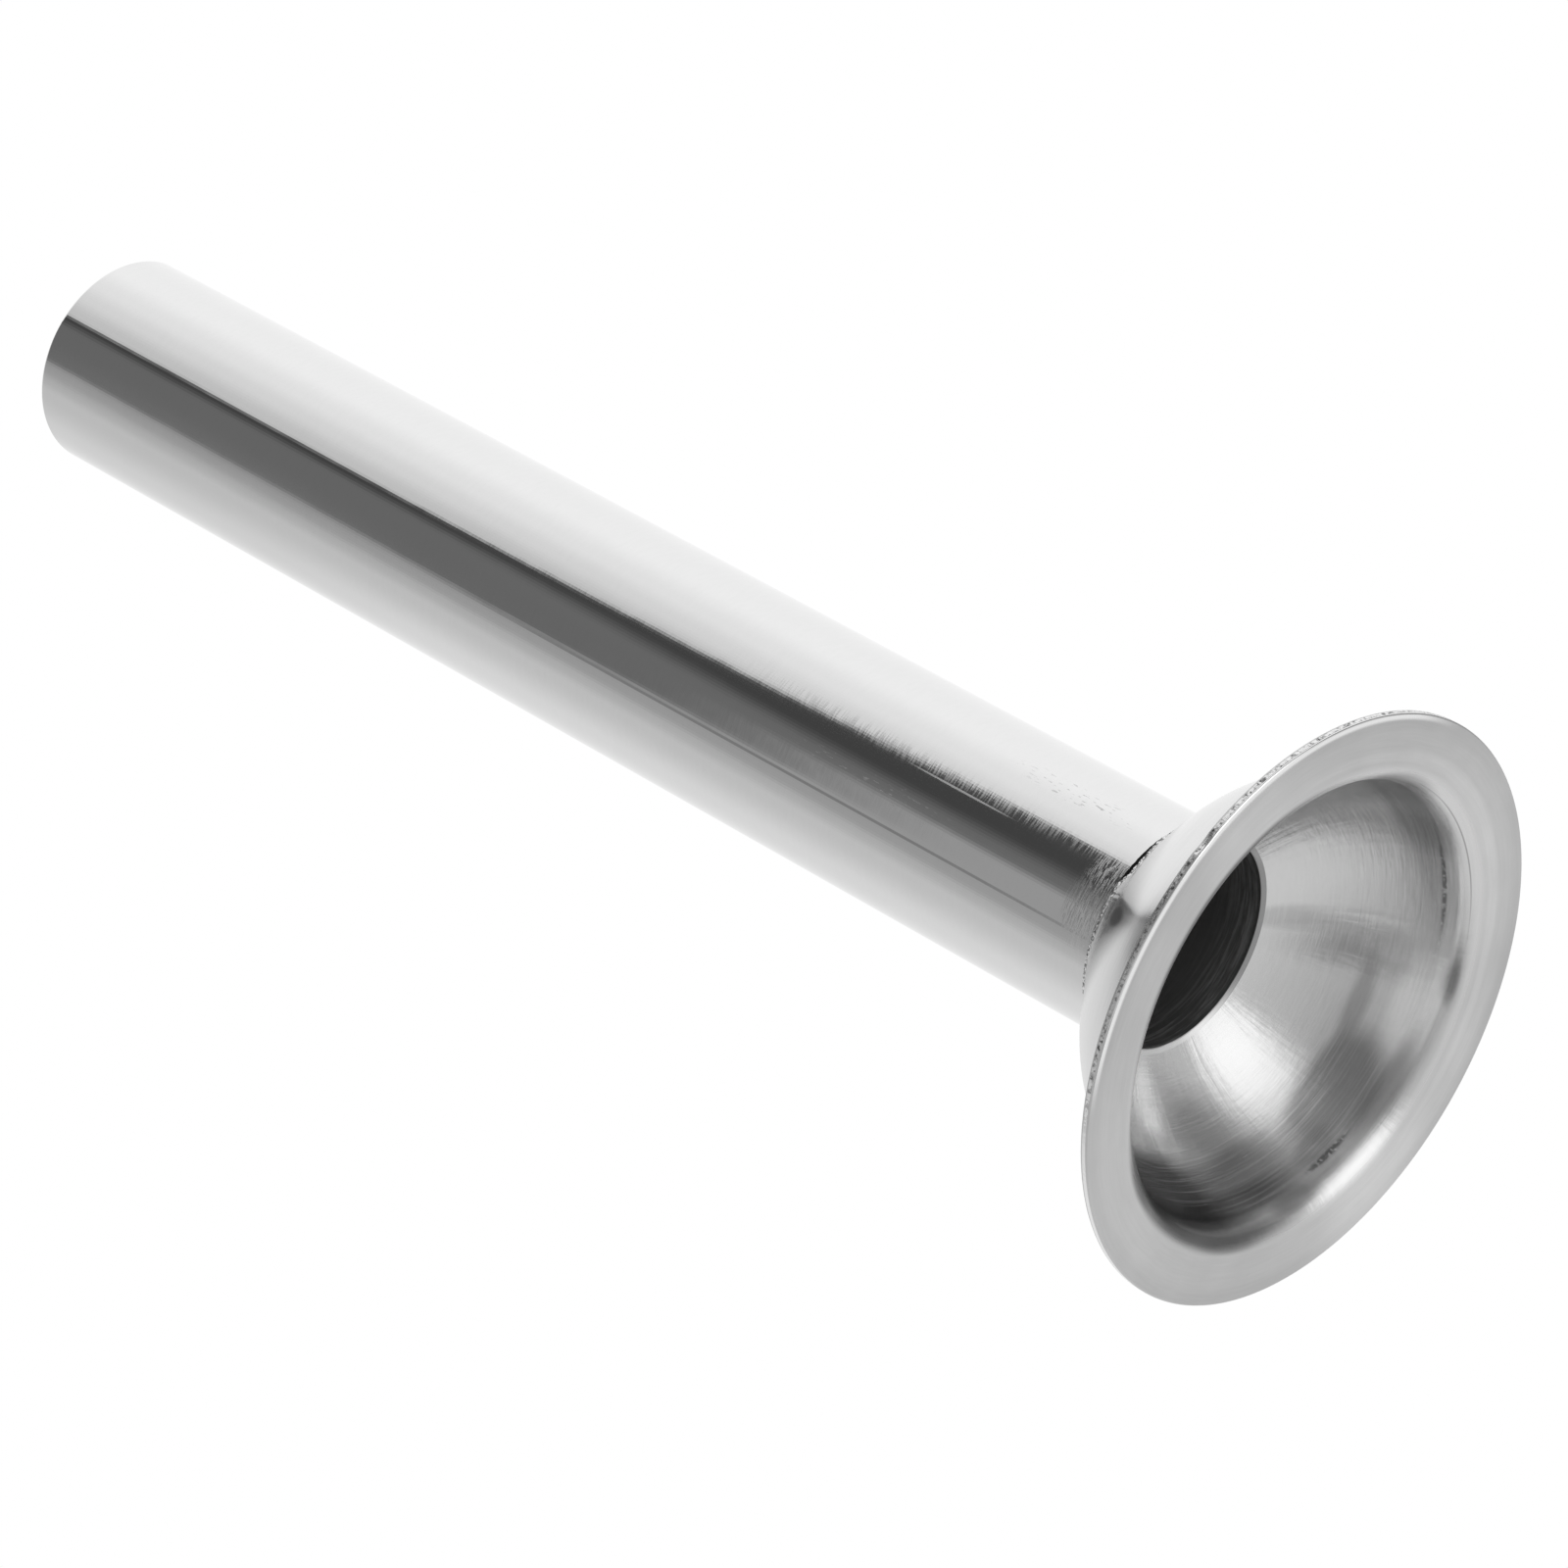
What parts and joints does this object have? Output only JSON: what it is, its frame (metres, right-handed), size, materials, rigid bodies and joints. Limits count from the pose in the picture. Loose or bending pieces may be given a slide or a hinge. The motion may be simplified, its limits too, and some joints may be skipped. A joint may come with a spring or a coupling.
{
  "type": "sausage stuffing tube",
  "caption": "Steel sausage stuffing tube: a straight thin-walled polished tube welded into a pressed cup with a flat clamping flange.",
  "frame": {"origin": "centre of the flange's front face, on the tube's axis", "axes": "+Z along the tube's axis, from the flange to the open end; X and Y lie in the flange's plane"},
  "size_m": [0.055, 0.055, 0.1563],
  "materials": {
    "polished_steel": "stainless steel polished nearly to a mirror, with fine polishing marks round the tube",
    "brushed_steel": "stainless steel, satin on the flange and brushed round the bowl, with a rough cut edge",
    "weld_steel": "rough weld metal, ground back by hand"
  },
  "bodies": {
    "root": {"tube": "polished_steel", "flanged_cup": "brushed_steel", "weld_bead": "weld_steel"}
  },
  "joints": []
}
